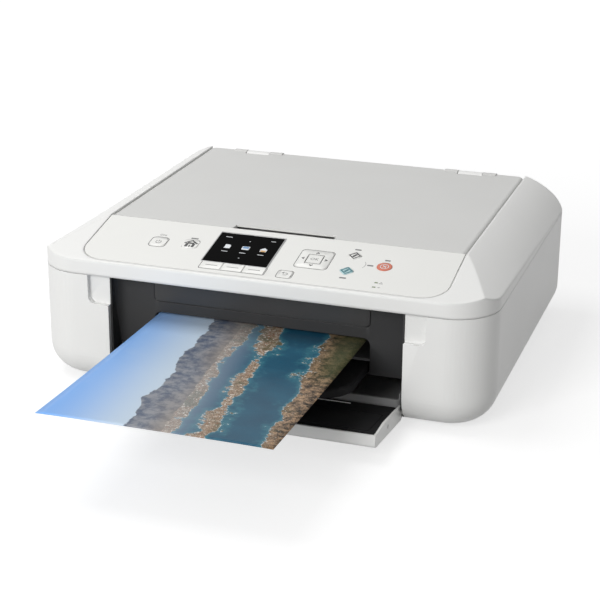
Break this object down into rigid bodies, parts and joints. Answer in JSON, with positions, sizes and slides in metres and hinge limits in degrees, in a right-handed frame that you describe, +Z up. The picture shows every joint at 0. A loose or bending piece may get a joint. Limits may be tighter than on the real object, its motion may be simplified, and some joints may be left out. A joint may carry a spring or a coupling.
{
  "type": "multifunction printer",
  "caption": "White desktop inkjet printer with flatbed scanner, sloping control panel, hinged document cover, and an open output flap with a printed sheet on the tray.",
  "frame": {"origin": "on the desk, in the middle of the whole part's base, printed sheet included", "axes": "+X to the right seen from the front, +Y to the rear, +Z up; the front with the control panel faces -Y"},
  "size_m": [0.455, 0.603, 0.1495],
  "materials": {
    "white_plastic": "fine grained, warm white",
    "cover_plastic": "smooth, pale grey",
    "panel_plastic": "satin, pale warm grey",
    "black_gloss": "polished black",
    "black_plastic": "satin black",
    "dark_grey_plastic": "dark grey",
    "mid_grey_plastic": "mid grey",
    "rubber": "soft black",
    "steel": "zinc plated sheet and shafts",
    "paper": "printed picture on coated paper",
    "glass": "clear",
    "orange_plastic": "gloss orange red",
    "teal_plastic": "gloss teal",
    "lamp_plastic": "tinted clear",
    "circuit_board": "green lacquer with dark components",
    "foam": "white foam with a film face",
    "felt": "grey felt",
    "clear_film": "translucent film",
    "translucent_grey": "smoked plastic"
  },
  "bodies": {
    "base": {"lower_casing": "white_plastic", "feet": "rubber", "front_fascia": "black_plastic", "badge_panel": "black_gloss", "printed_sheet": "paper", "paper_tray": "mid_grey_plastic", "engine_base": "dark_grey_plastic", "drive_belts": "rubber", "carriage_frame": "steel", "drive_motors": "steel", "encoder_strip": "clear_film", "purge_unit": "dark_grey_plastic", "purge_caps": "rubber", "ink_absorber": "felt", "power_supply": "black_plastic", "logic_board": "circuit_board", "rear_sockets": "black_plastic", "turn_guide": "dark_grey_plastic", "inner_deck": "dark_grey_plastic", "scanner_hinge_lugs": "dark_grey_plastic"},
    "flap": {"flap_shell": "white_plastic", "flap_inner_panel": "black_plastic"},
    "output_tray_slider": {"output_tray": "black_plastic"},
    "left_guide": {"left_paper_guide": "dark_grey_plastic"},
    "right_guide": {"right_paper_guide": "dark_grey_plastic"},
    "end_guide": {"end_paper_guide": "dark_grey_plastic"},
    "feed_shaft": {"feed_roller": "rubber"},
    "eject_shaft": {"eject_roller": "rubber"},
    "pinch_shaft": {"pinch_rollers": "mid_grey_plastic"},
    "star_shaft": {"star_wheels": "steel"},
    "carriage_unit": {"carriage": "black_plastic", "print_head": "dark_grey_plastic", "ink_tanks": "translucent_grey"},
    "motor_pulley_body": {"motor_pulley": "mid_grey_plastic"},
    "idler_pulley_body": {"idler_pulley": "mid_grey_plastic"},
    "scanner_unit": {"scanner_housing": "white_plastic", "control_panel": "panel_plastic", "display": "black_gloss", "lamp_lenses": "lamp_plastic", "panel_board": "circuit_board", "bed_frame": "white_plastic", "scan_glass": "glass", "scan_rod_and_hinge_pins": "steel", "cover_hinge_posts": "white_plastic"},
    "scan_bar_body": {"scan_bar": "black_plastic"},
    "cover": {"document_cover": "cover_plastic", "cover_lining": "white_plastic", "document_pad": "foam", "cover_hinge_pins": "steel"},
    "power_key_body": {"power_key": "panel_plastic"},
    "home_key_body": {"home_key": "panel_plastic"},
    "left_soft_key_body": {"left_soft_key": "panel_plastic"},
    "middle_soft_key_body": {"middle_soft_key": "panel_plastic"},
    "right_soft_key_body": {"right_soft_key": "panel_plastic"},
    "back_key_body": {"back_key": "panel_plastic"},
    "arrow_pad_body": {"arrow_pad": "panel_plastic"},
    "ok_key_body": {"ok_key": "panel_plastic"},
    "black_start_key_body": {"black_start_key": "panel_plastic"},
    "colour_start_key_body": {"colour_start_key": "teal_plastic"},
    "stop_key_body": {"stop_key": "orange_plastic"}
  },
  "joints": [
    {"name": "scanner_hinge", "type": "hinge", "parent": "base", "child": "scanner_unit", "pos_m": [0, 0.2885, 0.1205], "axis": [-1, 0, 0], "range_deg": [0, 38]},
    {"name": "cover_hinge", "type": "hinge", "parent": "scanner_unit", "child": "cover", "pos_m": [0, 0.2935, 0.1415], "axis": [-1, 0, 0], "range_deg": [0, 85]},
    {"name": "flap_hinge", "type": "hinge", "parent": "base", "child": "flap", "pos_m": [0, -0.0575, 0.0138], "axis": [-1, 0, 0], "range_deg": [0, 83.4], "deforming": ["printed_sheet"]},
    {"name": "tray_slide", "type": "slide", "parent": "base", "child": "output_tray_slider", "axis": [0, 1, 0], "range_m": [0, 0.0701]},
    {"name": "left_guide_slide", "type": "slide", "parent": "base", "child": "left_guide", "axis": [1, 0, 0], "range_m": [0, 0.055]},
    {"name": "right_guide_slide", "type": "slide", "parent": "base", "child": "right_guide", "axis": [-1, 0, 0], "range_m": [0, 0.055]},
    {"name": "end_guide_slide", "type": "slide", "parent": "base", "child": "end_guide", "axis": [0, -1, 0], "range_m": [0, 0.09]},
    {"name": "feed_spin", "type": "hinge", "parent": "base", "child": "feed_shaft", "pos_m": [0, 0.0925, 0.0675], "axis": [1, 0, 0], "continuous": true},
    {"name": "eject_spin", "type": "hinge", "parent": "base", "child": "eject_shaft", "pos_m": [0, -0.0205, 0.0696], "axis": [1, 0, 0], "continuous": true},
    {"name": "pinch_spin", "type": "hinge", "parent": "base", "child": "pinch_shaft", "pos_m": [0, 0.0925, 0.0792], "axis": [1, 0, 0], "continuous": true},
    {"name": "star_spin", "type": "hinge", "parent": "base", "child": "star_shaft", "pos_m": [0, -0.0205, 0.0787], "axis": [1, 0, 0], "continuous": true},
    {"name": "carriage_slide", "type": "slide", "parent": "base", "child": "carriage_unit", "axis": [1, 0, 0], "range_m": [-0.3, 0]},
    {"name": "motor_pulley_spin", "type": "hinge", "parent": "base", "child": "motor_pulley_body", "pos_m": [-0.19, 0.0875, 0.096], "axis": [0, 1, 0], "range_deg": [0, 2600]},
    {"name": "idler_pulley_spin", "type": "hinge", "parent": "base", "child": "idler_pulley_body", "pos_m": [0.19, 0.0875, 0.096], "axis": [0, 1, 0], "range_deg": [0, 2600]},
    {"name": "scan_slide", "type": "slide", "parent": "scanner_unit", "child": "scan_bar_body", "axis": [1, 0, 0], "range_m": [0, 0.262]},
    {"name": "power_key_press", "type": "slide", "parent": "scanner_unit", "child": "power_key_body", "axis": [0, 0.1961, -0.9806], "range_m": [0, 0.0006], "stiffness_N_per_m": 600},
    {"name": "home_key_press", "type": "slide", "parent": "scanner_unit", "child": "home_key_body", "axis": [0, 0.1961, -0.9806], "range_m": [0, 0.0006], "stiffness_N_per_m": 600},
    {"name": "left_soft_key_press", "type": "slide", "parent": "scanner_unit", "child": "left_soft_key_body", "axis": [0, 0.1961, -0.9806], "range_m": [0, 0.0006], "stiffness_N_per_m": 600},
    {"name": "middle_soft_key_press", "type": "slide", "parent": "scanner_unit", "child": "middle_soft_key_body", "axis": [0, 0.1961, -0.9806], "range_m": [0, 0.0006], "stiffness_N_per_m": 600},
    {"name": "right_soft_key_press", "type": "slide", "parent": "scanner_unit", "child": "right_soft_key_body", "axis": [0, 0.1961, -0.9806], "range_m": [0, 0.0006], "stiffness_N_per_m": 600},
    {"name": "back_key_press", "type": "slide", "parent": "scanner_unit", "child": "back_key_body", "axis": [0, 0.1961, -0.9806], "range_m": [0, 0.0006], "stiffness_N_per_m": 600},
    {"name": "arrow_pad_press", "type": "slide", "parent": "scanner_unit", "child": "arrow_pad_body", "axis": [0, 0.1961, -0.9806], "range_m": [0, 0.0006], "stiffness_N_per_m": 600},
    {"name": "ok_key_press", "type": "slide", "parent": "scanner_unit", "child": "ok_key_body", "axis": [0, 0.1961, -0.9806], "range_m": [0, 0.0006], "stiffness_N_per_m": 600},
    {"name": "black_start_key_press", "type": "slide", "parent": "scanner_unit", "child": "black_start_key_body", "axis": [0, 0.1961, -0.9806], "range_m": [0, 0.0006], "stiffness_N_per_m": 600},
    {"name": "colour_start_key_press", "type": "slide", "parent": "scanner_unit", "child": "colour_start_key_body", "axis": [0, 0.1961, -0.9806], "range_m": [0, 0.0006], "stiffness_N_per_m": 600},
    {"name": "stop_key_press", "type": "slide", "parent": "scanner_unit", "child": "stop_key_body", "axis": [0, 0.1961, -0.9806], "range_m": [0, 0.0006], "stiffness_N_per_m": 600}
  ],
  "couplings": [
    {"joint": "tray_slide", "follows": "flap_hinge", "m_per_rad": 0.04809},
    {"joint": "right_guide_slide", "follows": "left_guide_slide", "ratio": 1},
    {"joint": "eject_spin", "follows": "feed_spin", "ratio": 1.519},
    {"joint": "pinch_spin", "follows": "feed_spin", "ratio": -1.75},
    {"joint": "star_spin", "follows": "feed_spin", "ratio": -2.0398},
    {"joint": "motor_pulley_spin", "follows": "carriage_slide", "rad_per_m": -149.25},
    {"joint": "idler_pulley_spin", "follows": "carriage_slide", "rad_per_m": -149.25}
  ]
}
